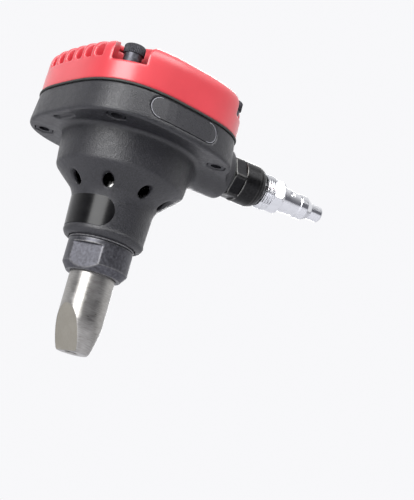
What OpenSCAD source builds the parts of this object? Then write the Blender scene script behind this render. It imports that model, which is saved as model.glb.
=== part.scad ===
// Pneumatic palm nailer for flooring cleats.
// The origin is the middle of the nose tip, +Z runs up the tool axis to the cap,
// and +X runs out along the air inlet. Millimetres.

/* [View] */
// Piece to draw, or all of them

/* [Housing] */
// Half width of the squared housing between its two plain faces
half_x = 40.9; // [36:0.1:46]
// Half width of the squared housing between its badge face and the opposite face
half_y = 41.9; // [36:0.1:46]
// How square the plan is: 2 is round, large is a sharp square
squareness = 3.0; // [2.4:0.1:6]
// How far the band flares out at its lower edge
band_flare = 1.3; // [0:0.1:3]
// Height of the band's lower edge
band_low_z = 97.4; // [90:0.1:102]
// Height of the band's upper edge, where the gasket sits
band_top_z = 111.2; // [105:0.1:118]
// Turn of the squared housing from the direction of the air inlet
body_turn = 10; // [0:1:45]
// Thickness of the gasket
gasket_t = 1.0; // [0.5:0.1:2]

/* [Cap] */
// Height where the cap's wall starts to round over
shoulder_z = 122.7; // [118:0.1:126]
// Height of the cap's crown
crown_z = 134.7; // [128:0.1:142]
// Wall of the cap
cap_wall = 2.6; // [1.5:0.1:4]
// Distance of each cap screw from both middle planes
screw_xy = 29; // [25:0.5:32]
// Radius of the open corner pocket round each screw
pocket_r = 8.5; // [6:0.1:10]
// Floor height of the corner pockets
pocket_z = 121.5; // [116:0.1:126]
// Number of vent slots in the front face of the cap
slot_count = 6; // [2:1:8]
// Spacing of the vent slots
slot_pitch = 7.2; // [5:0.1:9]
// Width of a vent slot
slot_w = 4.6; // [2:0.1:6]
// Depth of a vent slot, measured square to the cap
slot_depth = 4.6; // [3:0.1:7]

/* [Bowl and neck] */
// Radius of the bowl where it meets the band
bowl_top_r = 31.2; // [28:0.1:34]
// Radius of the bowl at its lower crease
bowl_low_r = 29.6; // [27:0.1:33]
// Height of the bowl's lower crease
crease_z = 80.6; // [76:0.1:86]
// Radius of the neck at its top
neck_top_r = 18.9; // [16:0.1:22]
// Radius of the neck at its foot
neck_low_r = 18.3; // [16:0.1:22]
// Height of the neck's foot
neck_foot_z = 50.4; // [46:0.1:56]
// Number of exhaust holes round the cone
exhaust_count = 8; // [4:1:12]
// Diameter of an exhaust hole
exhaust_d = 5.2; // [3:0.1:7]

/* [Nose] */
// Radius of the nose tube
nose_r = 10.4; // [8:0.1:12]
// Radius of the mouth that takes the head of a cleat
mouth_r = 2.9; // [2:0.05:4]
// Depth of that mouth
mouth_depth = 4.8; // [3:0.1:10]
// Radius of the collar of the nose nut
nut_r = 14.9; // [12:0.1:18]
// Distance across the two wrench flats of the nose nut
nut_flats = 25.8; // [20:0.1:29]
// Height of the lower face of the nose nut
nut_low_z = 35.2; // [30:0.1:40]

/* [Drive] */
// Bore radius of the cylinder
bore_r = 12.5; // [10:0.1:13]
// Radial running clearance of the piston, the valve stem and the swivel
run_gap = 0.05; // [0.01:0.01:0.1]
// Stroke of the piston and driver
stroke = 22; // [10:1:24]
// Lift of the head valve
valve_lift = 1.5; // [0.5:0.1:2]

/* [Air inlet] */
// Height of the inlet axis
inlet_z = 103.5; // [98:0.1:106]
// Radius of the inlet boss on the housing
boss_r = 12.3; // [11:0.1:14]
// Outer end of the inlet boss
boss_end_x = 50.4; // [46:0.1:54]
// Radius of the round part of the swivel adapter
adapter_r = 10.4; // [9:0.1:12]
// Distance across the flats of the adapter's hexagon
adapter_flats = 18.6; // [16:0.1:20]
// Distance across the flats of the plug's hexagon
plug_flats = 15.9; // [13:0.1:18]
// Radius of the plug's nose, the part a hose coupler grips
plug_nose_r = 3.95; // [3:0.05:5]

/* [Hidden] */
$fa = 4;
$fs = 0.5;
eps = 0.05;
plan_steps = 72;
cap_low_z = band_top_z + gasket_t;
neck_top_z = 70.4;
chamber_r = 28.5;
plate_z = 108.2;
sleeve_r = 15;
valve_z = 103.4;
piston_z = 70;
piston_h = 10;
driver_tip_z = mouth_depth + 0.2;
flange_z = 81.8;
adapter_x = boss_end_x + 1.2;
adapter_end_x = 70.5;
plug_nose_x = 100.2;
plug_end_x = 107;
red = [0.78, 0.10, 0.13];
dark = [0.20, 0.20, 0.22];
black = [0.08, 0.08, 0.09];
steel = [0.72, 0.71, 0.69];
alloy = [0.75, 0.76, 0.78];
chrome = [0.85, 0.86, 0.88];

function sgn(v) = v < 0 ? -1 : 1;
// Point on the squared plan at one angle, for the half widths a and b.
function plan_point(a, b, n, t) = [
    a * sgn(cos(t)) * pow(abs(cos(t)), 2 / n),
    b * sgn(sin(t)) * pow(abs(sin(t)), 2 / n)
];
// Share of the full plan left at a height share u of the cap's rounded top.
function crown_share(u) = pow(1 - pow(u, 4.2), 1 / 3.4);

module plan(inset = 0, grow = 0) {
    a = half_x - inset + grow;
    b = half_y - inset + grow;
    polygon([for (i = [0:plan_steps - 1]) plan_point(a, b, squareness, i * 360 / plan_steps)]);
}

module slab(z, inset = 0, grow = 0) {
    translate([0, 0, z])
        linear_extrude(height = 0.02) plan(inset, grow);
}

module turned() {
    rotate([0, 0, body_turn]) children();
}

module at_corners() {
    for (sx = [-1, 1], sy = [-1, 1])
        translate([sx * screw_xy, sy * screw_xy, 0]) children();
}

// Body of revolution about the inlet axis, profile given as [radius, distance along X].
module inlet_turned(profile) {
    translate([0, 0, inlet_z])
        rotate([0, 90, 0])
            rotate_extrude() polygon(profile);
}

module inlet_ring(x, len, r_out, r_in) {
    inlet_turned([[r_in, x], [r_out, x], [r_out, x + len], [r_in, x + len]]);
}

module ring(z, h, r_out, r_in) {
    translate([0, 0, z])
        rotate_extrude() polygon([[r_in, 0], [r_out, 0], [r_out, h], [r_in, h]]);
}

module o_ring(z, r, wire) {
    translate([0, 0, z])
        rotate_extrude() translate([r, 0]) circle(r = wire);
}

// ---- Housing ----

// The solid of the cap's outside, drawn in by inset, with the crown lowered by the same amount.
module cap_solid(inset = 0, low = 0) {
    rise = crown_z - inset - shoulder_z;
    hull() {
        slab(low, inset);
        slab(shoulder_z, inset);
        for (u = [0.5, 0.75, 0.9, 0.97, 0.998])
            translate([0, 0, shoulder_z + rise * u])
                scale([crown_share(u), crown_share(u), 1]) slab(0, inset);
    }
}

module band_solid(inset = 0) {
    hull() {
        slab(band_low_z, inset, band_flare);
        slab(band_top_z - 0.02, inset);
    }
}

// Rounded bar through the badge face, as long and high as the badge.
module badge_bar(grow = 0) {
    bar_r = 4.9 + grow;
    for (dx = [-13.6, 13.6])
        translate([dx - 2.4, -half_y + 8, 105.6])
            rotate([90, 0, 0]) cylinder(r = bar_r, h = 14);
    translate([-16, -half_y - 6, 105.6 - bar_r]) cube([27.2, 14, 2 * bar_r]);
}

module vent_slots(width, clear) {
    for (i = [0:slot_count - 1])
        translate([-half_x - 6, (i - (slot_count - 1) / 2) * slot_pitch - width / 2, 123 + clear])
            cube([22, width, 14]);
}

// The red cap: a domed cover with four open corner pockets and a comb of vent slots.
module cap() {
    color(red)
        turned()
            difference() {
                cap_solid(0, cap_low_z);
                difference() {
                    cap_solid(cap_wall, cap_low_z - 1);
                    at_corners() translate([0, 0, cap_low_z - 2]) cylinder(r = pocket_r + 2.2, h = 30);
                    translate([-half_x, -24, 119]) cube([9.6, 48, 20]);
                }
                at_corners() {
                    translate([0, 0, pocket_z]) cylinder(r = pocket_r, h = 20);
                    translate([0, 0, cap_low_z - 1]) cylinder(r = 2.7, h = 12);
                }
                difference() {
                    vent_slots(slot_w, 0);
                    cap_solid(slot_depth, cap_low_z);
                }
                vent_slots(1.6, 2);
            }
}

module cap_screw() {
    color(black)
        turned()
            at_corners()
                difference() {
                    union() {
                        translate([0, 0, 99.4]) cylinder(r = 2.45, h = 27);
                        translate([0, 0, 125.9]) cylinder(r = 4.75, h = 3.8);
                        translate([0, 0, 129.7 - eps]) cylinder(r1 = 4.75, r2 = 4.3, h = 0.5);
                    }
                    translate([0, 0, 127.4]) cylinder(r = 2.3, h = 4, $fn = 6);
                }
}

module screw_collar() {
    color(black)
        turned()
            at_corners() ring(pocket_z, 4.4, 4.1, 2.5);
}

module screw_nut() {
    color(steel)
        turned()
            at_corners()
                difference() {
                    translate([0, 0, 97.8]) cylinder(r = 4.5, h = 3.5, $fn = 6);
                    translate([0, 0, 97]) cylinder(r = 2.5, h = 6);
                }
}

module gasket() {
    color(black)
        turned()
            difference() {
                translate([0, 0, band_top_z])
                    linear_extrude(height = gasket_t) plan(0, 0.5);
                translate([0, 0, band_top_z - 1]) cylinder(r = 30.1, h = 3);
                at_corners() translate([0, 0, band_top_z - 1]) cylinder(r = 2.7, h = 3);
            }
}

// Outside of the bowl, cone, neck and lip, as [radius, height].
function skirt_profile() = [
    [15.15, neck_foot_z],
    [16.5, neck_foot_z],
    [17.7, neck_foot_z + 0.8],
    [18.6, neck_foot_z + 2.4],
    [18.7, neck_foot_z + 3.1],
    [neck_low_r, neck_foot_z + 3.7],
    [neck_top_r, 68],
    [neck_top_r + 0.7, neck_top_z],
    [neck_top_r + 1.9, 72.4],
    [bowl_low_r - 0.5, crease_z - 0.3],
    [bowl_low_r, crease_z + 0.2],
    [bowl_low_r + 0.3, crease_z + 1],
    [bowl_top_r, 96],
    [bowl_top_r + 1.5, band_low_z + 1]
];

// Room inside the housing, from the neck up to the seat of the head plate.
function room_profile() = [
    [0, neck_foot_z - 1],
    [15.15, neck_foot_z - 1],
    [15.15, 71],
    [17, 72.2],
    [25.6, 80.4],
    [25.6, flange_z],
    [chamber_r, flange_z],
    [chamber_r, plate_z],
    [30, plate_z],
    [30, band_top_z + 1],
    [0, band_top_z + 1]
];

// The dark moulded housing: squared band, bowl, vented cone, neck and inlet boss.
module body_shell() {
    color(dark)
        difference() {
            union() {
                turned() band_solid();
                rotate_extrude() polygon(concat([[0, neck_foot_z]], skirt_profile(), [[0, band_low_z + 1]]));
                inlet_turned([[0, 24], [boss_r, 24], [boss_r, boss_end_x - 1.2],
                    [boss_r - 1.4, boss_end_x], [0, boss_end_x]]);
            }
            rotate_extrude() polygon(room_profile());
            translate([0, -20, band_top_z]) cube([half_x + 2.2, 40, 10]);
            inlet_ring(37, 20, 7.2, 0);
            inlet_ring(20, 20, 4.5, 0);
            turned() {
                at_corners() {
                    translate([0, 0, 90]) cylinder(r = 2.6, h = 30);
                    translate([0, 0, 90]) cylinder(r = 4.7, h = 11.4, $fn = 6);
                }
                for (i = [0:exhaust_count - 1])
                    rotate([0, 0, i * 360 / exhaust_count])
                        translate([16, 0, 74.6]) rotate([0, 90, 0]) cylinder(d = exhaust_d, h = 20);
                difference() {
                    badge_bar();
                    band_solid(1.2);
                }
                translate([-37, 0, band_low_z - 2]) cube([3, 13, 6.4], center = true);
            }
        }
}

// Blank badge, flush in its recess on one face of the band.
module badge_plate() {
    color(black)
        turned()
            intersection() {
                badge_bar(-0.15);
                difference() {
                    band_solid(0.35);
                    band_solid(1.2);
                }
            }
}

// Blank wrap label on the neck, a thin conical skin with round ends.
module neck_label() {
    half_h = 6.7;
    mid_z = 61.2;
    film = 0.25;
    half_turn = 63;
    end_turn = asin(half_h / neck_low_r);
    side_turn = half_turn - end_turn;
    neck_slope = (neck_top_r - neck_low_r) / (68 - neck_foot_z - 3.7);
    low = neck_low_r + neck_slope * (mid_z - half_h - neck_foot_z - 3.7);
    high = low + neck_slope * 2 * half_h;
    color(black)
        turned()
            intersection() {
                rotate([0, 0, 180 - half_turn - 2])
                    rotate_extrude(angle = 2 * half_turn + 4)
                        polygon([[low, mid_z - half_h], [low + film, mid_z - half_h],
                            [high + film, mid_z + half_h], [high, mid_z + half_h]]);
                union() {
                    for (side = [-1, 1])
                        rotate([0, 0, 180 + side * side_turn])
                            translate([8, 0, mid_z]) rotate([0, 90, 0]) cylinder(r = half_h + 0.15, h = 16);
                    translate([0, 0, mid_z - half_h - 1])
                        linear_extrude(height = 2 * half_h + 2)
                            polygon([[0, 0], [-40, -40 * tan(side_turn)], [-40, 40 * tan(side_turn)]]);
                }
            }
}

// ---- Head valve ----

// Felt silencer ring under the cap's vents.
module vent_felt() {
    color(steel) ring(112.6, 8, 27, 10.5);
}

// Alloy plate that closes the air chamber and guides the valve stem.
module head_plate() {
    color(alloy)
        difference() {
            union() {
                ring(plate_z, 4, 29.8, 0);
                ring(plate_z + 4 - eps, 9.5, 9, 0);
            }
            translate([0, 0, plate_z - 1]) cylinder(r = 5 + run_gap, h = 12.4);
            translate([0, 0, plate_z - 1]) cylinder(r = 8.8, h = 3.1);
            translate([0, 0, plate_z + 2]) difference() {
                cylinder(r = 31, h = 1.4);
                cylinder(r = 28.5, h = 1.4);
            }
        }
}

module head_seal() {
    color(black) o_ring(plate_z + 2.7, 29.2, 0.65);
}

module head_valve() {
    color(alloy)
        difference() {
            union() {
                ring(valve_z, 2.4, 15.5, 0);
                ring(valve_z + 2, 10.6, 5, 0);
            }
            ring(valve_z - 1, 1.9, 14.8, 12.9);
            translate([0, 0, valve_z + 5]) cylinder(r = 3, h = 10);
        }
}

module valve_seal() {
    color(black) ring(valve_z - 0.3, 1.2, 14.7, 13);
}

// Coil spring that holds the head valve down, swept as a closed tube along a helix.
module valve_spring() {
    turns = 3;
    sides = 8;
    steps = 24 * turns;
    coil_r = 7.4;
    wire_r = 0.4;
    low = valve_z + 2.9;
    rise = 3.4;
    points = [
        for (i = [0:steps], k = [0:sides - 1])
            let (t = i * 360 * turns / steps, w = k * 360 / sides, r = coil_r + wire_r * cos(w))
                [r * cos(t), r * sin(t), low + rise * i / steps + wire_r * sin(w)]
    ];
    sweep = [
        for (i = [0:steps - 1], k = [0:sides - 1])
            let (n = (k + 1) % sides)
                [i * sides + k, (i + 1) * sides + k, (i + 1) * sides + n, i * sides + n]
    ];
    start = [for (k = [0:sides - 1]) k];
    stop = [for (k = [sides - 1:-1:0]) steps * sides + k];
    color(steel) polyhedron(points, concat(sweep, [start, stop]));
}

// ---- Drive ----

// Steel cylinder with a sealed flange between the exhaust room and the air chamber.
module cylinder_sleeve() {
    color(steel)
        difference() {
            union() {
                ring(62, 41, sleeve_r, 0);
                ring(flange_z, 3.2, 28.3, 0);
            }
            translate([0, 0, 60]) cylinder(r = bore_r, h = 50);
            translate([0, 0, flange_z + 0.9]) difference() {
                cylinder(r = 30, h = 1.5);
                cylinder(r = 27, h = 1.5);
            }
            for (i = [0:5])
                rotate([0, 0, i * 60])
                    translate([8, 0, 67]) rotate([0, 90, 0]) cylinder(d = 2, h = 10);
        }
}

module flange_seal() {
    color(black) o_ring(flange_z + 1.65, 27.7, 0.7);
}

module bumper() {
    color(black)
        translate([0, 0, 62])
            rotate_extrude()
                polygon([[5.4, 0], [12.3, 0], [12.3, 5], [11.4, 7.8], [6.2, 7.8], [5.4, 7]]);
}

module piston() {
    wall = bore_r - run_gap;
    color(alloy)
        difference() {
            translate([0, 0, piston_z])
                rotate_extrude()
                    polygon([[0, 0], [wall - 0.6, 0], [wall, 0.6], [wall, 3.6], [wall - 2.3, 3.6],
                        [wall - 2.3, 6], [wall, 6], [wall, piston_h - 0.6], [wall - 0.6, piston_h],
                        [8, piston_h], [7.4, piston_h - 1.4], [0, piston_h - 1.4]]);
            translate([0, 0, piston_z - 1]) cylinder(r = 4, h = 8);
            translate([-9, 0, piston_z + 2]) rotate([0, 90, 0]) cylinder(r = 1.2, h = 18);
        }
}

module piston_ring() {
    color(black) o_ring(piston_z + 4.8, bore_r - 1.22, 1.1);
}

// Driver blade: a thin round rod that hits the cleat, on a thicker shank in the piston.
module driver() {
    color(steel)
        difference() {
            rotate_extrude()
                polygon([[0, driver_tip_z], [2.25, driver_tip_z], [2.65, driver_tip_z + 0.5], [2.65, 55],
                    [4, 57], [4, piston_z + 7], [0, piston_z + 7]]);
            translate([-9, 0, piston_z + 2]) rotate([0, 90, 0]) cylinder(r = 1.2, h = 18);
        }
}

module driver_pin() {
    color(steel)
        translate([-8.6, 0, piston_z + 2]) rotate([0, 90, 0]) cylinder(r = 1.2, h = 17.2);
}

// ---- Nose ----

// Black nut with a round collar, two milled wrench flats and a threaded spigot.
module nose_nut() {
    color(black)
        difference() {
            union() {
                rotate_extrude()
                    polygon([[0, nut_low_z], [nut_r - 2.5, nut_low_z], [nut_r, nut_low_z + 3.5],
                        [nut_r, neck_foot_z - 1], [nut_r - 0.6, neck_foot_z - 0.3], [0, neck_foot_z - 0.3]]);
                ring(neck_foot_z - 0.4, 7.6, 15, 0);
            }
            translate([0, 0, nut_low_z - 1]) cylinder(r = nose_r + 0.1, h = 30);
            rotate([0, 0, body_turn + 211])
                for (side = [-1, 1])
                    translate([side * (nut_flats / 2 + 5), 0, nut_low_z + 5])
                        cube([10, 40, 14], center = true);
        }
}

// Ground steel nose with a tapered tip, one long flat and a stepped bore for cleat and driver.
module nose_tube() {
    facet_turn = 190;
    color(steel)
        difference() {
            rotate_extrude()
                polygon([[0, 0], [7, 0], [7.7, 0.8], [8.5, 3.2], [9.2, 6.2], [9.9, 10], [nose_r, 14.2],
                    [nose_r, 58], [14.4, 58], [14.4, 61.9], [0, 61.9]]);
            translate([0, 0, -1]) cylinder(r = mouth_r, h = mouth_depth + 1);
            translate([0, 0, -1]) cylinder(r = 2.65 + run_gap, h = 40);
            translate([0, 0, 30]) cylinder(r = 5.2, h = 40);
            rotate([0, 0, body_turn + facet_turn])
                translate([3.4, 0, 0])
                    rotate([0, 19.2, 0])
                        translate([0, -20, -10]) cube([20, 40, 60]);
            rotate([0, 0, body_turn + 100]) translate([0, 0, 5.5])
                rotate([0, 90, 0]) cylinder(r = 1.6, h = 8);
        }
}

// Small magnet in the side of the mouth that holds a steel cleat.
module nose_magnet() {
    color(alloy)
        rotate([0, 0, body_turn + 100])
            translate([4.2, 0, 5.5]) rotate([0, 90, 0]) cylinder(r = 1.5, h = 3.2);
}

// ---- Air inlet ----

// Steel spigot screwed into the boss, the fixed half of the swivel.
module inlet_spigot() {
    color(steel)
        inlet_turned([[3.4, 37.4], [7.1, 37.4], [7.1, boss_end_x + 0.9], [6, boss_end_x + 0.9],
            [6, 53.4], [4.9, 53.4], [4.9, 55.4], [6, 55.4], [6, 57.4], [4.9, 57.4], [4.9, 59.4],
            [6, 59.4], [6, 63.2], [5, 63.2], [5, 64.2], [6, 64.2], [6, 65], [3.4, 65]]);
}

module gap_washer() {
    color(black) inlet_ring(boss_end_x, 0.9, 10.1, 7.2);
}

// Black swivel adapter: a hexagon milled on a round body, with a rounded outer shoulder.
module swivel_adapter() {
    color(black)
        difference() {
            intersection() {
                inlet_turned([[0, adapter_x], [adapter_r - 0.5, adapter_x], [adapter_r, adapter_x + 0.5],
                    [adapter_r, 65.6], [adapter_r - 0.35, 67.2], [adapter_r - 1, 68.6],
                    [adapter_r - 2, 69.8], [adapter_r - 3.2, adapter_end_x], [0, adapter_end_x]]);
                union() {
                    translate([adapter_x - 1, 0, inlet_z])
                        rotate([0, 90, 0]) rotate([0, 0, 4])
                            cylinder(r = adapter_flats / sqrt(3), h = 6.2, $fn = 6);
                    inlet_ring(adapter_x + 5.2 - eps, 20, 12, 0);
                }
            }
            inlet_ring(adapter_x - 1, 12.4, 6 + run_gap, 0);
            inlet_ring(63, 4.2, 7.3, 0);
            inlet_ring(67, 5, 6.9, 0);
        }
}

module swivel_ring() {
    color(black)
        for (x = [54.4, 58.4])
            translate([x, 0, inlet_z])
                rotate([0, 90, 0])
                    rotate_extrude() translate([5.47, 0]) circle(r = 0.54);
}

module swivel_clip() {
    color(steel)
        translate([63.3, 0, inlet_z])
            rotate([0, 90, 0])
                rotate_extrude(angle = 300) polygon([[5.1, 0], [6.9, 0], [6.9, 0.8], [5.1, 0.8]]);
}

// Profile of the plug's outside from its thread to its nose, as [radius, distance along X].
function thread_profile(x, count, pitch, r, deep) = [
    for (i = [0:count - 1]) each [
        [r - deep, x + i * pitch], [r, x + (i + 0.35) * pitch],
        [r, x + (i + 0.65) * pitch], [r - deep, x + (i + 1) * pitch]
    ]
];

// Chromed air plug: taper thread, hexagon, barrel with a dimple, ridge and nose.
module air_plug() {
    color(chrome)
        difference() {
            union() {
                inlet_turned(concat([[0, 67.3], [6.85, 67.3], [6.85, 70.8]],
                    thread_profile(70.8, 4, 1.3, 8.7, 0.7), [[0, 76]]));
                intersection() {
                    translate([76 - eps, 0, inlet_z])
                        rotate([0, 90, 0]) rotate([0, 0, 19])
                            cylinder(r = plug_flats / sqrt(3), h = 5.6, $fn = 6);
                    inlet_turned([[0, 75], [8.5, 75], [9.4, 77], [9.4, 79.6], [8, 82], [0, 82]]);
                }
                inlet_turned([[0, 81.5], [6.3, 81.5], [6.1, 86], [5.6, 92], [5.6, 92.6], [6, 93.1],
                    [6, 96.8], [5.7, 97.4], [4.4, 99.8], [plug_nose_r, plug_nose_x],
                    [plug_nose_r, plug_end_x - 0.6], [plug_nose_r - 0.5, plug_end_x], [0, plug_end_x]]);
            }
            inlet_ring(60, 60, 2.8, 0);
            translate([87, 0, inlet_z]) rotate([-60, 0, 0])
                translate([0, 0, 5.3]) cylinder(r1 = 1.2, r2 = 1.6, h = 2);
        }
}

module plug_seal() {
    color(black) inlet_ring(66.2, 0.8, 6.6, 4);
}

cap();
cap_screw();
screw_collar();
screw_nut();
gasket();
vent_felt();
head_plate();
head_seal();
head_valve();
valve_seal();
valve_spring();
body_shell();
badge_plate();
neck_label();
cylinder_sleeve();  // cylinder
flange_seal();
bumper();
piston();
piston_ring();
driver();
driver_pin();
nose_nut();
nose_tube();
nose_magnet();
inlet_spigot();
gap_washer();
swivel_adapter();
swivel_ring();
swivel_clip();
air_plug();
plug_seal();
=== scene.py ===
# %% [markdown]
# # A palm nailer, rebuilt for a studio picture
#
# The tool is a short air hammer that sits in the palm. It has a red cap, a dark
# textured housing, a steel nose that holds the nail, and an air plug that
# swivels. This lesson dresses the measured model: the sizes come from the packed
# frame, and each step says what the real piece is and why it is made this way.

# %% Load the measured frame
import math

import bmesh
import bpy
import numpy as np
from mathutils import Matrix, Vector


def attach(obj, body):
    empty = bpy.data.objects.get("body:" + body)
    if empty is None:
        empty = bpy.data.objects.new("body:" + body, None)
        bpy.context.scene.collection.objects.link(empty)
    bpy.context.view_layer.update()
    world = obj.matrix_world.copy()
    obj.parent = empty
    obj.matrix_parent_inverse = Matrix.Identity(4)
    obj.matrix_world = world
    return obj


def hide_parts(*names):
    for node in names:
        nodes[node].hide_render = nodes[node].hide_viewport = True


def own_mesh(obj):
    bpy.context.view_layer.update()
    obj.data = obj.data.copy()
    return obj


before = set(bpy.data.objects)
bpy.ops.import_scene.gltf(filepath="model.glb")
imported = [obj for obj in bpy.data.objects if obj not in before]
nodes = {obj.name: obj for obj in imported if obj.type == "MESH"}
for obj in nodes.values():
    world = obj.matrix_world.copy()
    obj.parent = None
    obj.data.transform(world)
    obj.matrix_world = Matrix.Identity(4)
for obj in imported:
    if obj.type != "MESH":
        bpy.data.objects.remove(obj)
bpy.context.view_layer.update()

MM = 0.001

# %% [markdown]
# ## Colour and node helpers
# Paint charts and screens give colours as sRGB hex values, but a renderer adds light
# in linear values, so one function turns the first into the second. Every material
# below is a small tree of nodes. One function adds a node with its settings and its
# links, which keeps each material short enough to read as a recipe.


# %% Hex colour to linear light
def linear(code):
    values = [int(code[i:i + 2], 16) / 255 for i in (1, 3, 5)]
    return tuple(v / 12.92 if v <= 0.04045 else ((v + 0.055) / 1.055) ** 2.4 for v in values) + (1.0,)


print("mid grey in linear light:", round(linear("#808080")[0], 3))


# %% Add a node with its settings and links
# Stops are pairs of a place and a hex colour for a node that has a colour ramp.
def add(tree, kind, inputs=None, stops=(), **settings):
    node = tree.nodes.new("ShaderNode" + kind)
    for name, value in settings.items():
        setattr(node, name, value)
    for name, value in (inputs or {}).items():
        socket = node.inputs[name]
        if isinstance(value, bpy.types.NodeSocket):
            tree.links.new(value, socket)
        else:
            socket.default_value = value
    for end, (place, code) in zip(node.color_ramp.elements if stops else (), stops):
        end.position = place
        end.color = linear(code)
    return node


print("one function adds every node")


# %% Start a material, and turn a pattern's real size into its scale
def start(name, **shader_values):
    material = bpy.data.materials.new(name)
    material.use_nodes = True
    tree = material.node_tree
    shader = tree.nodes["Principled BSDF"]
    for label, value in shader_values.items():
        shader.inputs[label.replace("_", " ")].default_value = value
    place = add(tree, "TexCoord").outputs["Object"]
    return material, tree, shader, place


def per(size_mm):
    return 1 / (size_mm * MM)


print("a 2 mm pattern has the scale", per(2.0))

# %% [markdown]
# ## Camera
# The tool leans in its picture because the camera is rolled, and the camera stands low
# on the inlet's left, looking up under the cap. A long lens keeps the housing's sides
# nearly parallel. The place, the aim and the roll were fitted to the tool's own corners.

# %% Camera from place, aim and roll
camera_data = bpy.data.cameras.new("camera")
camera = bpy.data.objects.new("camera", camera_data)
bpy.context.scene.collection.objects.link(camera)
bpy.context.scene.camera = camera
camera_data.lens = 91.33
camera_data.sensor_width = 36.0
camera_data.clip_start = 0.01
camera_data.clip_end = 50.0
camera_at = Vector((-211.69, -516.69, -70.37)) * MM
right = Vector((0.83475, -0.49159, 0.24805))
upward = Vector((-0.3276, -0.08132, 0.94131))
backward = Vector((-0.44257, -0.86702, -0.22893))
camera.matrix_world = Matrix.Translation(camera_at) @ Matrix((right, upward, backward)).transposed().to_4x4()
print("camera distance in mm:", round(camera_at.length / MM))

# %% [markdown]
# ## Studio
# The set is a white sweep behind the tool and a dimmer room in front of it, with a wide
# pale floor. Chrome and gloss plastic then mirror bright edges round a darker middle,
# as they do in a real studio. Three soft boxes shape the form: a key at the front left,
# a wide one above the front, and a strip behind that gives the steel a bright edge.

# %% Pale floor
def flat_disc(name, radius, height, count=96):
    mesh = bpy.data.meshes.new(name)
    angles = [2 * math.pi * k / count for k in range(count)]
    rim = [(radius * math.cos(a), radius * math.sin(a), height) for a in angles]
    mesh.from_pydata(rim, [], [list(range(count))])
    thing = bpy.data.objects.new(name, mesh)
    bpy.context.scene.collection.objects.link(thing)
    return thing


FLOOR_DROP = 0.125
floor = flat_disc("floor", 4.0, -FLOOR_DROP)
paper, tree, shader, place = start("seamless_paper", Roughness=0.9)
fibres = add(tree, "TexNoise", {"Vector": place, "Scale": per(3.0), "Detail": 4.0}).outputs["Fac"]
colour = add(tree, "ValToRGB", {"Fac": fibres}, stops=((0.3, "#C0C0C4"), (0.7, "#C8C8CC")))
tree.links.new(colour.outputs["Color"], shader.inputs["Base Color"])
floor.data.materials.append(paper)
print("floor is", round(-FLOOR_DROP / MM), "mm below the nose")

# %% Pale surround and soft boxes
bpy.context.scene.view_settings.view_transform = "Standard"
world = bpy.data.worlds.new("white_room")
bpy.context.scene.world = world
world.use_nodes = True
sky = world.node_tree.nodes["Background"]
toward = add(world.node_tree, "TexCoord").outputs["Generated"]
ahead = add(world.node_tree, "VectorMath", {0: toward, 1: (0.46, 0.88, 0.1)}, operation="DOT_PRODUCT")
share = add(world.node_tree, "Math", {0: ahead.outputs["Value"], 1: 0.5, 2: 0.5}, operation="MULTIPLY_ADD")
room_light = add(world.node_tree, "ValToRGB", {"Fac": share.outputs[0]},
                 stops=((0.3, "#77777D"), (0.66, "#FAFAFC"))).outputs["Color"]
world.node_tree.links.new(room_light, sky.inputs["Color"])
sky.inputs["Strength"].default_value = 0.98


def soft_box(name, place, aim, width, height, power):
    data = bpy.data.lights.new(name, "AREA")
    data.shape = "RECTANGLE"
    data.size = width
    data.size_y = height
    data.energy = power
    lamp = bpy.data.objects.new(name, data)
    bpy.context.scene.collection.objects.link(lamp)
    lamp.location = place
    lamp.rotation_euler = (Vector(aim) - Vector(place)).to_track_quat("-Z", "Y").to_euler()


heart = (0.0, 0.0, 0.08)
soft_box("key_box", (-1.0, -0.65, 0.5), heart, 0.9, 0.9, 20)
soft_box("top_box", (0.1, -0.85, 1.2), heart, 1.4, 1.0, 20)
soft_box("back_strip", (0.5, 0.9, 0.5), heart, 0.3, 0.9, 5)

# %% [markdown]
# ## Shapes as distance fields
# Moulded and forged pieces have no truly sharp corner: every edge and every inside
# corner carries a small radius. A field that says how far each point of space is from
# the surface makes that easy. Two shapes join with the smaller of their distances, a
# hole is cut with the larger of one and the other's negative, and a soft version of
# each leaves a fillet. The surface is then read out where the distance is nothing.


# %% Soft joins and cuts
def join(a, b, soft=0.0):
    if soft <= 0:
        return np.minimum(a, b)
    share = np.clip(0.5 + 0.5 * (b - a) / soft, 0, 1)
    return b * (1 - share) + a * share - soft * share * (1 - share)


def meet(a, b, soft=0.0):
    return -join(-a, -b, soft)


def cut(a, b, soft=0.0):
    return meet(a, -b, soft)


print("soft join of two equal distances:", join(1.0, 1.0, 0.5))


# %% A block of space to measure in
def space(low, high, step):
    axes = [np.arange(l, h + step, step, dtype=np.float32) for l, h in zip(low, high)]
    return np.meshgrid(*axes, indexing="ij")


def turn(x, y, degrees):
    c, s = math.cos(math.radians(degrees)), math.sin(math.radians(degrees))
    return x * c + y * s, y * c - x * s


print("samples in a 2 mm block at 1 mm:", space((0, 0, 0), (2, 2, 2), 1)[0].size)


# %% Distance to a turned profile and to simple solids
def lathe(radius, height, profile):
    best = np.full(radius.shape, 1e9, np.float32)
    inside = np.zeros(radius.shape, bool)
    for (r0, h0), (r1, h1) in zip(profile, profile[1:] + profile[:1]):
        dr, dh = r1 - r0, h1 - h0
        length = dr * dr + dh * dh
        if length == 0:
            continue
        share = np.clip(((radius - r0) * dr + (height - h0) * dh) / length, 0, 1)
        best = np.minimum(best, (radius - r0 - share * dr) ** 2 + (height - h0 - share * dh) ** 2)
        if dh:
            crosses = (h0 > height) != (h1 > height)
            inside ^= crosses & (radius < r0 + (height - h0) * dr / dh)
    return np.where(inside, -1, 1) * np.sqrt(best)


def brick(x, y, z, low, high):
    away = np.maximum(low[0] - x, x - high[0])
    away = np.maximum(away, np.maximum(low[1] - y, y - high[1]))
    return np.maximum(away, np.maximum(low[2] - z, z - high[2]))


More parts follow.
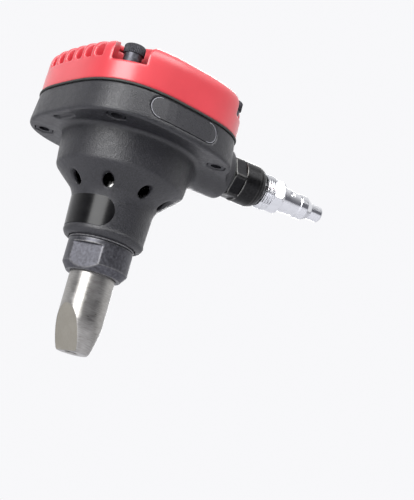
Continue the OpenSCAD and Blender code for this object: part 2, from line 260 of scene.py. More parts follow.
def hexagon(a, b, flats, degrees):
    best = None
    for k in range(3):
        u, _ = turn(a, b, degrees + 30 + 60 * k)
        side = np.abs(u) - flats / 2
        best = side if best is None else np.maximum(best, side)
    return best


print("fields ready")


# %% [markdown]
# ## From a field to a mesh
# Each small cell of the block that the surface passes through gets one corner, at the
# middle of the places where its edges are crossed. Each crossed edge gives one
# four-sided face. The field also knows which way is out, so the faces are shaded with
# the field's own slope, and its bend is stored at each corner. Sharp outer edges bend
# the most, which is where black finish wears off first.


# %% Read values between the samples
def sample(grid, points):
    base = np.clip(points.astype(int), 0, np.array(grid.shape) - 2)
    part = points - base
    total = 0
    for i in (0, 1):
        for j in (0, 1):
            for k in (0, 1):
                weight = (np.abs(1 - i - part[:, 0]) * np.abs(1 - j - part[:, 1])
                          * np.abs(1 - k - part[:, 2]))
                total = total + weight * grid[base[:, 0] + i, base[:, 1] + j, base[:, 2] + k]
    return total


print("halfway between samples:", sample(np.arange(8.0).reshape(2, 2, 2), np.full((1, 3), 0.5)))


# %% Corners and faces of the zero surface
def surface_corners(field):
    n = field.shape
    inside = field < 0
    count = sum(inside[i:n[0] - 1 + i, j:n[1] - 1 + j, k:n[2] - 1 + k].astype(np.int8)
                for i in (0, 1) for j in (0, 1) for k in (0, 1))
    active = (count > 0) & (count < 8)
    cell = np.argwhere(active)
    number = np.full(active.shape, -1, np.int32)
    number[active] = np.arange(len(cell))
    total = np.zeros((len(cell), 3))
    hits = np.zeros(len(cell))
    for axis in range(3):
        for u in (0, 1):
            for v in (0, 1):
                first = cell.copy()
                first[:, (axis + 1) % 3] += u
                first[:, (axis + 2) % 3] += v
                second = first.copy()
                second[:, axis] += 1
                a, b = field[tuple(first.T)], field[tuple(second.T)]
                crossed = (a < 0) != (b < 0)
                spot = first[crossed].astype(float)
                spot[:, axis] += a[crossed] / (a[crossed] - b[crossed])
                total[crossed] += spot
                hits[crossed] += 1
    return total / hits[:, None], number


def surface_faces(field, number):
    faces = []
    for axis in range(3):
        u, v = (axis + 1) % 3, (axis + 2) % 3
        here = [slice(1, -1)] * 3
        there = [slice(1, -1)] * 3
        here[axis], there[axis] = slice(0, -1), slice(1, None)
        a, b = field[tuple(here)] < 0, field[tuple(there)] < 0
        for sign in (True, False):
            at = np.argwhere((a != b) & (a == sign))
            at[:, u] += 1
            at[:, v] += 1
            ring = []
            for du, dv in ((1, 1), (0, 1), (0, 0), (1, 0)) if sign else ((1, 1), (1, 0), (0, 0), (0, 1)):
                spot = at.copy()
                spot[:, u] -= du
                spot[:, v] -= dv
                ring.append(number[tuple(spot.T)])
            faces.append(np.stack(ring, axis=1))
    return np.concatenate(faces)


print("surface reader ready")


# %% From the field to a shaded object
# A corner counts as fully bent when its surface turns within this many millimetres.
WEAR_MM = 0.3


def skin(name, field, low, step, finish):
    points, number = surface_corners(field)
    faces = surface_faces(field, number)
    slope = np.gradient(field)
    out = np.stack([sample(s, points) for s in slope], axis=1)
    out /= np.linalg.norm(out, axis=1)[:, None] + 1e-9
    middle = field[1:-1, 1:-1, 1:-1]
    bend = np.zeros_like(field)
    for axis in range(3):
        for side in (slice(0, -2), slice(2, None)):
            shift = [slice(1, -1)] * 3
            shift[axis] = side
            bend[1:-1, 1:-1, 1:-1] += field[tuple(shift)] - middle
    edge = np.clip(sample(bend, points) / step ** 2 * WEAR_MM, 0, 1)
    points = np.array(low) + points * step
    mesh = bpy.data.meshes.new(name)
    mesh.from_pydata(points * MM, [], faces)
    mesh.polygons.foreach_set("use_smooth", np.ones(len(faces), bool))
    mark = mesh.attributes.new("edge", "FLOAT", "POINT")
    mark.data.foreach_set("value", edge.astype(np.float32))
    mesh.update()
    mesh.normals_split_custom_set_from_vertices(out.tolist())
    thing = bpy.data.objects.new(name, mesh)
    bpy.context.scene.collection.objects.link(thing)
    mesh.materials.append(finish)
    print(name, "faces:", len(faces), "box mm:", points.min(0).round(1), points.max(0).round(1))
    return thing


def settle(piece, body, slot, *replaced):
    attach(piece, body)
    if replaced:
        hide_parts(*replaced)
    return piece


# %% [markdown]
# ## Plastics and rubber
# The cap is ABS, moulded in a polished tool and left glossy. Its skin is not a mirror:
# it has a faint orange peel and palms have dulled it in patches. The housing is
# glass-filled nylon with a spark-eroded texture, which breaks each highlight into
# bright specks. The gasket is nitrile rubber, matt and slightly dusty.

# %% Gloss ABS, red
# Strong red under a clear skin: the wide soft highlights turn it pink.
gloss_abs, tree, shader, place = start("gloss_abs_red", IOR=1.53, Coat_Weight=0.8, Coat_Roughness=0.3)
cloud = add(tree, "TexNoise", {"Vector": place, "Scale": per(18.0)}).outputs["Fac"]
fine = add(tree, "TexNoise", {"Vector": place, "Scale": per(0.9), "Detail": 3.0}).outputs["Fac"]
colour = add(tree, "ValToRGB", {"Fac": cloud}, stops=((0.3, "#B92731"), (0.7, "#C3303A")))
tree.links.new(colour.outputs["Color"], shader.inputs["Base Color"])
rough = add(tree, "ValToRGB", {"Fac": fine}, stops=((0.25, "#9C9C9C"), (0.8, "#B0B0B0")))
tree.links.new(rough.outputs["Color"], shader.inputs["Roughness"])
peel = add(tree, "Bump", {"Height": fine, "Strength": 0.12, "Distance": 0.05 * MM})
tree.links.new(peel.outputs["Normal"], shader.inputs["Normal"])
print("made", gloss_abs.name)


# %% Glass-filled nylon, dark grey
# The eroded skin is really 0.1 to 0.2 mm grit; it is drawn at 0.6 mm so that it shows.
filled_nylon, tree, shader, place = start("glass_filled_nylon", IOR=1.53)
grit = add(tree, "TexNoise", {"Vector": place, "Scale": per(0.6), "Roughness": 0.6}).outputs["Fac"]
coarse = add(tree, "TexNoise", {"Vector": place, "Scale": per(2.4)}).outputs["Fac"]
colour = add(tree, "ValToRGB", {"Fac": grit}, stops=((0.35, "#151518"), (0.75, "#2C2C31")))
tree.links.new(colour.outputs["Color"], shader.inputs["Base Color"])
rough = add(tree, "ValToRGB", {"Fac": coarse}, stops=((0.3, "#9A9A9A"), (0.7, "#B4B4B4")))
tree.links.new(rough.outputs["Color"], shader.inputs["Roughness"])
pits = add(tree, "Bump", {"Height": grit, "Strength": 0.8, "Distance": 0.2 * MM})
tree.links.new(pits.outputs["Normal"], shader.inputs["Normal"])
print("made", filled_nylon.name)


# %% Nitrile rubber
# Almost black with a grey-green bloom, and no clear highlight.
nitrile, tree, shader, place = start("nitrile_rubber", IOR=1.52)
dust = add(tree, "TexNoise", {"Vector": place, "Scale": per(1.5), "Detail": 4.0}).outputs["Fac"]
colour = add(tree, "ValToRGB", {"Fac": dust}, stops=((0.35, "#1B1D1B"), (0.7, "#2C302C")))
tree.links.new(colour.outputs["Color"], shader.inputs["Base Color"])
rough = add(tree, "ValToRGB", {"Fac": dust}, stops=((0.3, "#B8B8B8"), (0.7, "#DADADA")))
tree.links.new(rough.outputs["Color"], shader.inputs["Roughness"])
soft_skin = add(tree, "Bump", {"Height": dust, "Strength": 0.2, "Distance": 0.05 * MM})
tree.links.new(soft_skin.outputs["Normal"], shader.inputs["Normal"])
print("plastics:", gloss_abs.name, filled_nylon.name, nitrile.name)

# %% [markdown]
# ## Steels
# Three finishes meet at the nose. The nut and the screws are blackened steel, whose thin
# oxide wears to bright metal on the edges. The nose tube is turned, so it carries fine
# rings. Its long flat is ground, and looks flat grey beside the tube. The plug is chrome
# plate over steel, polished enough to mirror the room.


# %% Blackened steel with worn edges
def blackened(name, dark, light, rough_low, rough_high, grit_mm):
    material, tree, shader, place = start(name, Metallic=0.85)
    mottle = add(tree, "TexNoise", {"Vector": place, "Scale": per(grit_mm), "Detail": 4.0}).outputs["Fac"]
    worn = add(tree, "Attribute", attribute_name="edge").outputs["Fac"]
    patchy = add(tree, "Math", {0: worn, 1: mottle}, operation="MULTIPLY")
    oxide = add(tree, "ValToRGB", {"Fac": mottle}, stops=((0.3, dark), (0.7, light))).outputs["Color"]
    colour = add(tree, "Mix", {"Factor": patchy.outputs[0], "A": oxide, "B": linear("#B9B8B4")},
                 data_type="RGBA")
    tree.links.new(colour.outputs[2], shader.inputs["Base Color"])
    rough = add(tree, "ValToRGB", {"Fac": mottle}, stops=((0.25, rough_low), (0.75, rough_high)))
    tree.links.new(rough.outputs["Color"], shader.inputs["Roughness"])
    bump = add(tree, "Bump", {"Height": mottle, "Strength": 0.15, "Distance": 0.05 * MM})
    tree.links.new(bump.outputs["Normal"], shader.inputs["Normal"])
    return material


# Satin black with a soft grey sheen and thin bright edges.
black_oxide = blackened("black_oxide_steel", "#3C3C40", "#5A5A60", "#9C9C9C", "#B6B6B6", 1.2)
# The swivel adapter's oxide is deeper and glossier.
deep_oxide = blackened("deep_black_oxide_steel", "#121213", "#1E1E20", "#8C8C8C", "#A0A0A0", 1.0)
# Phosphated screws are drier and darker than the nut.
phosphate = blackened("phosphated_steel", "#29292B", "#45454A", "#A8A8A8", "#C8C8C8", 0.5)


print("blackened:", black_oxide.name, deep_oxide.name, phosphate.name)


# %% Turned, ground and plated steel
def bright(name, low, high, rough_low, rough_high, squash, size_mm, bump_share, metal=1.0):
    material, tree, shader, place = start(name, Metallic=metal)
    lay = add(tree, "Mapping", {"Vector": place, "Scale": squash}).outputs["Vector"]
    lines = add(tree, "TexNoise", {"Vector": lay, "Scale": per(size_mm), "Detail": 3.0}).outputs["Fac"]
    blotch = add(tree, "TexNoise", {"Vector": place, "Scale": per(6.0), "Detail": 3.0}).outputs["Fac"]
    both = add(tree, "Math", {0: lines, 1: blotch}, operation="ADD").outputs[0]
    half = add(tree, "Math", {0: both, 1: 0.5}, operation="MULTIPLY").outputs[0]
    colour = add(tree, "ValToRGB", {"Fac": half}, stops=((0.3, low), (0.7, high)))
    tree.links.new(colour.outputs["Color"], shader.inputs["Base Color"])
    rough = add(tree, "ValToRGB", {"Fac": half}, stops=((0.3, rough_low), (0.7, rough_high)))
    tree.links.new(rough.outputs["Color"], shader.inputs["Roughness"])
    bump = add(tree, "Bump", {"Height": lines, "Strength": bump_share, "Distance": 0.03 * MM})
    tree.links.new(bump.outputs["Normal"], shader.inputs["Normal"])
    return material


# Turning marks run round the tube: fine along it and long around it.
turned_steel = bright("turned_steel", "#85837F", "#B5B3B0", "#8C8C8C", "#A6A6A6",
                      (0.25, 0.25, 2.0), 0.8, 0.25)
# Grinding leaves short even scratches and a flat warm grey.
ground_steel = bright("ground_steel", "#979389", "#A6A298", "#B0B0B0", "#C0C0C0",
                      (1.0, 1.0, 0.3), 0.6, 0.3)
# Plate is nearly smooth, with a faint haze.
chrome_plate = bright("chrome_plate", "#D4D5D8", "#E2E3E6", "#505050", "#626262",
                      (0.3, 1.0, 1.0), 3.0, 0.04)
# Zinc plate has a pale blue-grey mottle.
zinc_plate = bright("zinc_plated_steel", "#A9ABAD", "#C5C7CA", "#727272", "#909090",
                    (1.0, 1.0, 1.0), 1.5, 0.1)
# Die-cast alloy is matt, with flow marks.
cast_alloy = bright("die_cast_aluminium", "#9FA1A4", "#BBBDC0", "#8C8C8C", "#AAAAAA",
                    (1.0, 1.0, 1.0), 2.5, 0.2)
# Honed bore: crossed fine lines, drawn along the sleeve.
honed_steel = bright("honed_cylinder_steel", "#B5B5B3", "#CFCFCE", "#666666", "#808080",
                     (1.0, 1.0, 1.6), 0.7, 0.2)
# Hardened tool steel keeps its drawn lines along the blade.
hard_steel = bright("hardened_tool_steel", "#8E8D8B", "#A9A8A6", "#707070", "#8A8A8A",
                    (2.0, 2.0, 0.1), 0.7, 0.2)
# Oil-tempered wire is grey-blue.
spring_wire = bright("oil_tempered_wire", "#77797C", "#8F9194", "#6C6C6C", "#8A8A8A",
                     (1.0, 1.0, 1.0), 0.8, 0.1)
# Nickel-plated magnet.
nickel_magnet = bright("nickel_plated_magnet", "#BDB8AE", "#D0CCC2", "#505050", "#686868",
                       (1.0, 1.0, 1.0), 1.5, 0.1)
print("steels:", black_oxide.name, turned_steel.name, ground_steel.name, chrome_plate.name)

# %% [markdown]
# ## Soft insides and labels
# Inside are a felt silencer, a polyurethane bumper and rubber rings. Outside are two
# blank labels: an etched badge on the band and a glossy vinyl wrap on the neck.

# %% Felt, urethane and label films
wool_felt, tree, shader, place = start("wool_felt", IOR=1.5, Sheen_Weight=0.3)
fibre = add(tree, "TexNoise", {"Vector": place, "Scale": per(0.5), "Detail": 5.0}).outputs["Fac"]
colour = add(tree, "ValToRGB", {"Fac": fibre}, stops=((0.3, "#8C8880"), (0.7, "#B5B1A8")))
tree.links.new(colour.outputs["Color"], shader.inputs["Base Color"])
shader.inputs["Roughness"].default_value = 0.95
fuzz = add(tree, "Bump", {"Height": fibre, "Strength": 0.6, "Distance": 0.2 * MM})
tree.links.new(fuzz.outputs["Normal"], shader.inputs["Normal"])

# Cast urethane: amber and slightly waxy.
urethane, tree, shader, place = start("cast_polyurethane", IOR=1.5, Subsurface_Weight=0.1)
haze = add(tree, "TexNoise", {"Vector": place, "Scale": per(4.0)}).outputs["Fac"]
colour = add(tree, "ValToRGB", {"Fac": haze}, stops=((0.3, "#8A5A24"), (0.7, "#A06C2E")))
tree.links.new(colour.outputs["Color"], shader.inputs["Base Color"])
rough = add(tree, "ValToRGB", {"Fac": haze}, stops=((0.3, "#9A9A9A"), (0.7, "#B0B0B0")))
tree.links.new(rough.outputs["Color"], shader.inputs["Roughness"])

# Gloss vinyl: deep black with a clear mirror.
vinyl, tree, shader, place = start("gloss_vinyl_film", IOR=1.5, Specular_IOR_Level=0.3)
ripple = add(tree, "TexNoise", {"Vector": place, "Scale": per(5.0)}).outputs["Fac"]
colour = add(tree, "ValToRGB", {"Fac": ripple}, stops=((0.3, "#060607"), (0.7, "#0B0B0C")))
tree.links.new(colour.outputs["Color"], shader.inputs["Base Color"])
rough = add(tree, "ValToRGB", {"Fac": ripple}, stops=((0.3, "#7A7A7A"), (0.7, "#888888")))
tree.links.new(rough.outputs["Color"], shader.inputs["Roughness"])
waves = add(tree, "Bump", {"Height": ripple, "Strength": 0.15, "Distance": 0.1 * MM})
tree.links.new(waves.outputs["Normal"], shader.inputs["Normal"])

# Etched badge: the housing's grey with a smoother, finer skin.
etched, tree, shader, place = start("etched_polycarbonate", IOR=1.58)
etch = add(tree, "TexNoise", {"Vector": place, "Scale": per(0.5), "Detail": 3.0}).outputs["Fac"]
colour = add(tree, "ValToRGB", {"Fac": etch}, stops=((0.3, "#1F1F22"), (0.7, "#2A2A2E")))
tree.links.new(colour.outputs["Color"], shader.inputs["Base Color"])
rough = add(tree, "ValToRGB", {"Fac": etch}, stops=((0.3, "#8A8A8A"), (0.7, "#A2A2A2")))
tree.links.new(rough.outputs["Color"], shader.inputs["Roughness"])
skin_bump = add(tree, "Bump", {"Height": etch, "Strength": 0.15, "Distance": 0.05 * MM})
tree.links.new(skin_bump.outputs["Normal"], shader.inputs["Normal"])

# Pad-printed hairline round the badge.
print_line, tree, shader, place = start("pad_printed_grey", IOR=1.5)
ink = add(tree, "TexNoise", {"Vector": place, "Scale": per(0.8), "Detail": 3.0}).outputs["Fac"]
colour = add(tree, "ValToRGB", {"Fac": ink}, stops=((0.3, "#74747A"), (0.7, "#909096")))
tree.links.new(colour.outputs["Color"], shader.inputs["Base Color"])
rough = add(tree, "ValToRGB", {"Fac": ink}, stops=((0.3, "#909090"), (0.7, "#A8A8A8")))
tree.links.new(rough.outputs["Color"], shader.inputs["Roughness"])
print("soft and label finishes:", wool_felt.name, urethane.name, vinyl.name, etched.name)

# %% [markdown]
# ## The cap's plan
# From above, the cap and the band are a rounded square whose sides bow out a little: a
# superellipse. The housing sits turned by ten degrees to the inlet. These few numbers
# are shared by the cap, the gasket and the band, so all three line up.

# %% Shared plan
HALF_X, HALF_Y, POWER, TURN = 40.9, 41.9, 3.0, 10.0
BAND_LOW, BAND_TOP, CAP_LOW, SHOULDER, CROWN = 97.4, 111.2, 112.2, 122.7, 134.7
SCREW_AT = 29  # from the middle to each screw, both ways
BAND_FLARE = 1.3  # how far the band's lower edge stands out past its top
INLET_HIGH = 103.5
BADGE_HIGH = 105.6


def plan_share(x, y, a, b):
    return (np.abs(x / a) ** POWER + np.abs(y / b) ** POWER) ** (1 / POWER)


def dome(x, y, z, inset, step):
    a, b = HALF_X - inset, HALF_Y - inset
    lift = np.clip((z - SHOULDER) / (CROWN - inset - SHOULDER), 0, None)
    value = (plan_share(x, y, a, b) ** 3.4 + lift ** 4.2) ** (1 / 3.4) - 1
    grow = np.sqrt(sum(g ** 2 for g in np.gradient(value, step))) + 1e-4
    return value / grow


def corners(x, y):
    best = None
    for sx in (-1, 1):
        for sy in (-1, 1):
            away = np.hypot(x - SCREW_AT * sx, y - SCREW_AT * sy)
            best = away if best is None else np.minimum(best, away)
    return best


print("plan across the faces, mm:", 2 * HALF_X, "by", 2 * HALF_Y)

# %% [markdown]
# ## The red cap
# One moulding: a straight wall, a rounded shoulder and a low dome. Open pockets at the
# corners let the screws in, and a comb of slots over one shoulder lets the exhaust
# breathe. The pocket and slot rims get a small radius, because gloss plastic shows
# every edge as a thin bright line.

# %% Cap field and mesh
WALL, POST, POCKET, POCKET_FLOOR, SCREW_HOLE = 2.6, 10.7, 8.5, 121.5, 2.7
SLOTS, SLOT_PITCH, SLOT_HALF, SLIT_HALF, SLOT_DEEP = 6, 7.2, 2.3, 0.8, 4.6
step = 0.6
low = (-44, -44, CAP_LOW - 1)
x, y, z = space(low, (44, 44, CROWN + 1), step)
xb, yb = turn(x, y, TURN)
outer = meet(dome(xb, yb, z, 0.0, step), CAP_LOW - z, 0.4)
room = dome(xb, yb, z, WALL, step)
room = cut(room, corners(xb, yb) - POST, 1.0)
room = cut(room, brick(xb, yb, z, (-41, -24, 119), (-31.3, 24, 140)))
field = cut(outer, room)
pockets = meet(corners(xb, yb) - POCKET, POCKET_FLOOR - z, 0.6)
field = cut(field, pockets, 0.9)
field = cut(field, meet(corners(xb, yb) - SCREW_HOLE, z - 123))
deep = -dome(xb, yb, z, SLOT_DEEP, step)
for i in range(SLOTS):
    across = np.abs(yb - (i - (SLOTS - 1) / 2) * SLOT_PITCH)
    slot = meet(meet(across - SLOT_HALF, 123 - z, 0.8), xb + 24, 0.8)
    field = cut(field, meet(slot, deep, 0.6), 0.7)
    slit = meet(meet(across - SLIT_HALF, 125 - z), meet(-46 - xb, xb + 25))
    field = cut(field, slit, 0.2)
settle(skin("cap_shell", field, low, step, gloss_abs), "housing", "red_cap", "cap")

# %% [markdown]
# ## The dark housing
# Band, bowl, cone, neck and inlet boss are one moulding. The boss grows out of the bowl
# with a soft blend, and the crease under the band and at the cone stays firmer. The
# same field carries the exhaust holes, the badge's recess and the bores inside.

# %% Housing field
step = 0.7
low = (-45, -45, 49)
x, y, z = space(low, (53, 45, 118), step)
xb, yb = turn(x, y, TURN)
radius = np.hypot(x, y)
flare = BAND_FLARE * (1 - np.clip((z - BAND_LOW) / (BAND_TOP - BAND_LOW), 0, 1))
share = plan_share(xb, yb, HALF_X + flare, HALF_Y + flare) - 1
grow = np.sqrt(sum(g ** 2 for g in np.gradient(share, step))) + 1e-4
band = meet(share / grow, BAND_LOW - z, 1.6)
skirt = lathe(radius, z, [(-5, 50.4), (16.5, 50.4), (17.7, 51.2), (18.6, 52.8), (18.7, 53.5), (18.3, 54.1),
                          (18.9, 68), (19.6, 70.4), (20.8, 72.4), (29.1, 80.3), (29.6, 80.8), (29.9, 81.6),
                          (31.2, 96), (32.7, 99), (-5, 99)])
boss_r = np.hypot(y, z - INLET_HIGH)
boss = lathe(boss_r, x, [(-5, 22), (12.3, 22), (12.3, 49.2), (10.9, 50.4), (-5, 50.4)])
field = join(band, skirt, 1.6)
field = join(field, boss, 9.0)
over = meet(BAND_TOP - z, x - 43.1)
field = cut(field, over, 0.5)
print("field samples:", field.size)

# %% Housing holes and room
HOLES, HOLE_HIGH, HOLE_RADIUS, NUT_FLATS, NUT_SEAT = 8, 74.6, 2.6, 8.14, 101.4
room = lathe(radius, z, [(-5, 49), (15.15, 49), (15.15, 71), (17, 72.2), (25.6, 80.4), (25.6, 81.8),
                         (28.5, 81.8), (28.5, 108.2), (30, 108.2), (30, 113), (-5, 113)])
field = cut(field, room, 0.3)
field = cut(field, meet(boss_r - 7.2, 37 - x), 0.4)
field = cut(field, meet(boss_r - 4.5, meet(20 - x, x - 40)))
field = cut(field, meet(corners(xb, yb) - 2.6, 90 - z))
for k in range(HOLES):
    u, v = turn(xb, yb, 360 / HOLES * k)
    hole = meet(np.hypot(v, z - HOLE_HIGH) - HOLE_RADIUS, 14 - u)
    field = cut(field, hole, 0.9)
for sx in (-1, 1):
    for sy in (-1, 1):
        pocket = meet(hexagon(xb - SCREW_AT * sx, yb - SCREW_AT * sy, NUT_FLATS, 0), z - NUT_SEAT)
        field = cut(field, pocket, 0.4)
field = cut(field, brick(xb, yb, z, (-38.5, -6.5, 92), (-35.5, 6.5, 98.6)), 0.5)
badge_x = np.clip(xb, -16.0, 11.2)
bar = np.hypot(xb - badge_x, z - BADGE_HIGH) - 4.9
inner = plan_share(xb, yb, HALF_X + flare - 1.2, HALF_Y + flare - 1.2) - 1
recess = meet(meet(bar, yb + 20), -(inner / grow))
field = cut(field, recess, 0.3)
settle(skin("housing_shell", field, low, step, filled_nylon), "housing", "housing", "body_shell")

# %% [markdown]
# ## Gasket, badge line and cap screws
# Thin skins are easier to build as a grid of points than as a field. Each is a short
# profile carried along a path: round the plan for the gasket, and round the blank badge
# for its printed line. The screws are cold-headed and knurled, with a hexagon socket, so
# their profile is carried round the screw's own axis and changes a little as it goes.


# %% Grid of points to a closed skin
def grid_mesh(name, rows, finish, closed=True, flat_angle=40, places=((0.0, 0.0),)):
    count, width = len(rows), len(rows[0])
    faces = []
    for i in range(count if closed else count - 1):
        for j in range(width):
            i2, j2 = (i + 1) % count, (j + 1) % width
            faces.append((i * width + j, i2 * width + j, i2 * width + j2, i * width + j2))
    if not closed:
        faces.append(tuple(range(width)))
        faces.append(tuple((count - 1) * width + j for j in reversed(range(width))))
    one = [(p[0], p[1], p[2]) for row in rows for p in row]
    points = [((px + dx) * MM, (py + dy) * MM, pz * MM) for dx, dy in places for px, py, pz in one]
    faces = [tuple(i + k * len(one) for i in face) for k in range(len(places)) for face in faces]
    mesh = bpy.data.meshes.new(name)
    mesh.from_pydata(points, [], faces)
    shell = bmesh.new()
    shell.from_mesh(mesh)
    bmesh.ops.recalc_face_normals(shell, faces=shell.faces)
    shell.to_mesh(mesh)
    shell.free()
    mesh.materials.append(finish)
    mesh.polygons.foreach_set("use_smooth", [True] * len(faces))
    mesh.set_sharp_from_angle(angle=math.radians(flat_angle))
    thing = bpy.data.objects.new(name, mesh)
    bpy.context.scene.collection.objects.link(thing)
    print(name, "faces:", len(faces))
    return thing


def to_tool(px, py):
    c, s = math.cos(math.radians(TURN)), math.sin(math.radians(TURN))
    return px * c - py * s, px * s + py * c


def plan_point(angle, grow):
    a, b = HALF_X, HALF_Y
    c, s = math.cos(angle), math.sin(angle)
    px = a * math.copysign(abs(c) ** (2 / POWER), c)
    py = b * math.copysign(abs(s) ** (2 / POWER), s)
    nx = math.copysign(abs(px / a) ** (POWER - 1) / a, px)
    ny = math.copysign(abs(py / b) ** (POWER - 1) / b, py)
    size = math.hypot(nx, ny) or 1
    return to_tool(px + grow * nx / size, py + grow * ny / size)


# %% Gasket with a rounded proud edge
rows = []
for k in range(240):
    angle = 2 * math.pi * (k + 0.5) / 240
    row = []
    for grow, height in ((-6.0, 111.22), (0.2, 111.22), (0.42, 111.32), (0.5, 111.55),
                         (0.5, 111.9), (0.4, 112.1), (0.15, 112.18), (-6.0, 112.18)):
        px, py = plan_point(angle, grow)
        row.append((px, py, height))
    rows.append(row)
settle(grid_mesh("gasket_ring", rows, nitrile), "housing", "seal_rubber", "gasket")

# %% Printed line round the badge
rows = []
for k in range(240):
    along = 2 * math.pi * k / 240
    out_x, out_z = math.cos(along), math.sin(along)
    centre_x = -2.4 + math.copysign(13.6, out_x)
    row = []
    for reach, lift in ((4.35, -0.1), (4.35, 0.03), (4.62, 0.03), (4.62, -0.1)):
        px, pz = centre_x + reach * out_x, BADGE_HIGH + reach * out_z
        bulge = BAND_FLARE * (BAND_TOP - pz) / (BAND_TOP - BAND_LOW) - 0.35
        py = -(HALF_Y + bulge) * (1 - abs(px / (HALF_X + bulge)) ** POWER) ** (1 / POWER) - lift
        row.append((*to_tool(px, py), pz))
    rows.append(row)
settle(grid_mesh("badge_line", rows, print_line), "housing", "badge")

# %% Knurled socket screws
rows = []
for k in range(288):
    angle = 2 * math.pi * k / 288
    knurl = 0.14 * math.cos(36 * angle)
    socket = 2.0 / math.cos((angle + math.pi / 6) % (math.pi / 3) - math.pi / 6)
    profile = ((0.02, 99.42), (2.1, 99.42), (2.45, 99.8), (2.45, 125.92), (4.5, 125.92), (4.6 + knurl, 126.1),
               (4.6 + knurl, 129.5), (4.35 + knurl / 2, 129.95), (4.1, 130.12), (socket + 0.2, 130.12),
               (socket, 129.9), (socket, 127.42), (0.02, 127.42))
    rows.append([(r * math.cos(angle), r * math.sin(angle), h) for r, h in profile])
spots = [(SCREW_AT * u, SCREW_AT * v) for u, v in (to_tool(i, j) for i in (-1, 1) for j in (-1, 1))]
settle(grid_mesh("knurled_screws", rows, phosphate, flat_angle=50, places=spots),
       "housing", "black_steel", "cap_screw")

# %% [markdown]
# ## The valve spring
# A coil spring holds the head valve down and shortens as the valve lifts. The wire is
# wound here as a closed tube of one fixed length: a stiff copy, which would pass through
# the rising valve.

# %% Valve spring wound as a closed tube
COILS, COIL_RADIUS, WIRE_RADIUS, COIL_LOW, COIL_LONG = 3, 7.4, 0.4, 106.3, 3.4
rows = []
for k in range(145):
    share = k / 144
    angle = 2 * math.pi * COILS * share
    row = []
    for j in range(12):
        around = 2 * math.pi * j / 12
        reach = COIL_RADIUS + WIRE_RADIUS * math.cos(around)
        height = COIL_LOW + COIL_LONG * share + WIRE_RADIUS * math.sin(around)
        row.append((reach * math.cos(angle), reach * math.sin(angle), height))
    rows.append(row)
spring = settle(grid_mesh("wound_valve_spring", rows, spring_wire, closed=False),
                "housing", "spring_steel", "valve_spring")
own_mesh(spring)

# %% [markdown]
# ## The nose
# A black nut screws into the neck and holds the nose tube. Two wrench flats leave a
# crescent ledge above them. The tube is turned, tapers at its tip and has one long
# ground flat, so the user sees the nail.

# %% Nose nut
step = 0.3
low = (-16, -16, 34)
x, y, z = space(low, (16, 16, 59), step)
radius = np.hypot(x, y)
nut = lathe(radius, z, [(-5, 35.2), (12.4, 35.2), (14.9, 38.7), (14.9, 49.4), (14.3, 50.1), (-5, 50.1)])
across, _ = turn(x, y, 221)
nut = cut(nut, meet(12.9 - np.abs(across), z - 47.2), 0.25)
spigot = meet(radius - 15, meet(50.0 - z, z - 57.6))
nut = join(nut, spigot)
nut = cut(nut, radius - 10.5, 0.2)
settle(skin("nose_nut_turned", nut, low, step, black_oxide), "housing", "black_steel", "nose_nut")

# %% Nose tube with its ground flat
FLAT_FACES = 200  # degrees round the tube
step = 0.3
low = (-16, -16, -1.2)
x, y, z = space(low, (16, 16, 63), step)
radius = np.hypot(x, y)
tube = lathe(radius, z, [(-5, 0), (7, 0), (7.7, 0.8), (8.5, 3.2), (9.2, 6.2), (9.9, 10), (10.4, 14.2),
                         (10.4, 58), (14.4, 58), (14.4, 61.9), (-5, 61.9)])
across, _ = turn(x, y, FLAT_FACES)
lean = math.radians(19.2)
flat = 3.4 + math.tan(lean) * z
tube = cut(tube, (flat - across) * math.cos(lean))
tube = cut(tube, meet(radius - 2.9, z - 4.8))
tube = cut(tube, radius - 2.7)
tube = cut(tube, meet(radius - 5.2, 30 - z))
nose_tube = skin("nose_tube_turned", tube, low, step, turned_steel)
nose_tube.data.materials.append(ground_steel)
flat_way = math.radians(FLAT_FACES)
facing = Vector((math.cos(flat_way), math.sin(flat_way), -math.tan(lean))).normalized()
for face in nose_tube.data.polygons:
    if face.normal.dot(facing) > 0.985 and face.center.z < 24 * MM:
        face.material_index = 1
settle(nose_tube, "housing", "tool_steel", "nose_tube")

# %% [markdown]
# ## The air inlet
# A black adapter turns on the spigot, and the chromed plug screws into it. The plug's
# thread is a helix: its ridge climbs as it goes round, which the field draws with a
# radius that depends on both.

# %% Swivel adapter
step = 0.25
low = (50.5, -12, 91.5)
x, y, z = space(low, (71.5, 12, 115.5), step)
around = np.hypot(y, z - INLET_HIGH)
shell = lathe(around, x, [(-5, 51.6), (9.9, 51.6), (10.4, 52.1), (10.4, 65.6), (10.05, 67.2), (9.4, 68.6),
                          (8.4, 69.8), (7.2, 70.5), (-5, 70.5)])
wrench = join(hexagon(y, z - INLET_HIGH, 18.6, 4), 57.4 - x)
shell = meet(shell, wrench, 0.3)
shell = cut(shell, meet(around - 6.05, x - 63))
shell = cut(shell, meet(around - 7.3, meet(63 - x, x - 67.2)))
shell = cut(shell, meet(around - 6.9, 67 - x))
settle(skin("swivel_adapter_body", shell, low, step, deep_oxide),
                 "swivel", "black_steel", "swivel_adapter")

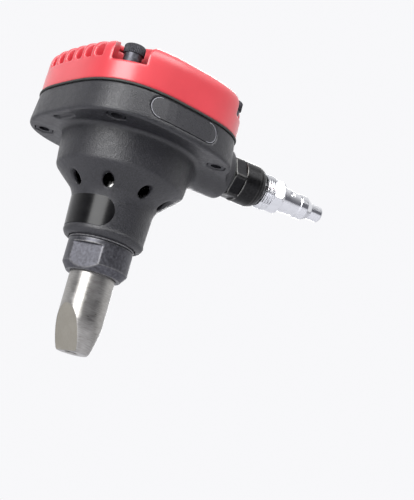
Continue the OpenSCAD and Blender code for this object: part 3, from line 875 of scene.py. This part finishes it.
# %% Air plug
THREAD_PITCH = 1.3
step = 0.2
low = (66.3, -10.5, 93)
x, y, z = space(low, (108, 10.5, 114), step)
around = np.hypot(y, z - INLET_HIGH)
climb = x / THREAD_PITCH - np.arctan2(z - INLET_HIGH, y) / (2 * math.pi)
ridge = np.abs(climb - np.floor(climb) - 0.5) * 2
thread = meet(around - 8.0 - 0.65 * np.clip(1.6 * (1 - ridge) - 0.3, 0, 1), meet(70.8 - x, x - 76), 0.2)
shank = meet(around - 6.85, meet(67.3 - x, x - 71))
nut = meet(hexagon(y, z - INLET_HIGH, 15.9, 19), meet(76 - x, x - 81.6), 0.2)
chamfers = lathe(around, x, [(-5, 74), (8.3, 74), (8.9, 76), (9.4, 77), (9.4, 79.6), (8, 82), (-5, 82)])
nut = meet(nut, chamfers, 0.2)
barrel = lathe(around, x, [(-5, 81), (6.3, 81), (6.1, 86), (5.6, 92), (5.6, 92.6), (6, 93.1), (6, 96.8),
                           (5.7, 97.4), (4.4, 99.8), (3.95, 100.2), (3.95, 106.4), (3.45, 107), (-5, 107)])
plug = join(join(thread, shank), join(nut, barrel))
plug = cut(plug, around - 2.8)
dimple = np.sqrt((x - 87) ** 2 + (y + 6.4 * math.cos(math.radians(30))) ** 2
                 + (z - INLET_HIGH - 6.4 * math.sin(math.radians(30))) ** 2) - 1.5
plug = cut(plug, dimple, 0.2)
settle(skin("air_plug_chromed", plug, low, step, chrome_plate), "swivel", "chrome", "air_plug")

# %% [markdown]
# ## Finishes for the pieces that keep their measured shape
# The inner pieces, the two blank labels and the collars are already right in the frame.
# Each keeps its mesh and takes the finish of the real piece.

# %% Finish for each node
by_node = {
    "screw_collar": black_oxide, "screw_nut": phosphate, "vent_felt": wool_felt,
    "head_plate": cast_alloy, "head_seal": nitrile, "head_valve": cast_alloy, "valve_seal": nitrile,
    "badge_plate": etched, "neck_label": vinyl, "cylinder": honed_steel,
    "flange_seal": nitrile, "bumper": urethane, "piston": cast_alloy, "piston_ring": nitrile,
    "driver": hard_steel, "driver_pin": hard_steel, "nose_magnet": nickel_magnet,
    "inlet_spigot": zinc_plate, "gap_washer": nitrile, "swivel_ring": nitrile, "swivel_clip": spring_wire,
    "plug_seal": nitrile,
}
for name, finish in by_node.items():
    if not nodes[name].material_slots:
        nodes[name].data.materials.append(finish)
    for holder in nodes[name].material_slots:
        holder.material = finish
print("finished nodes:", len(by_node))
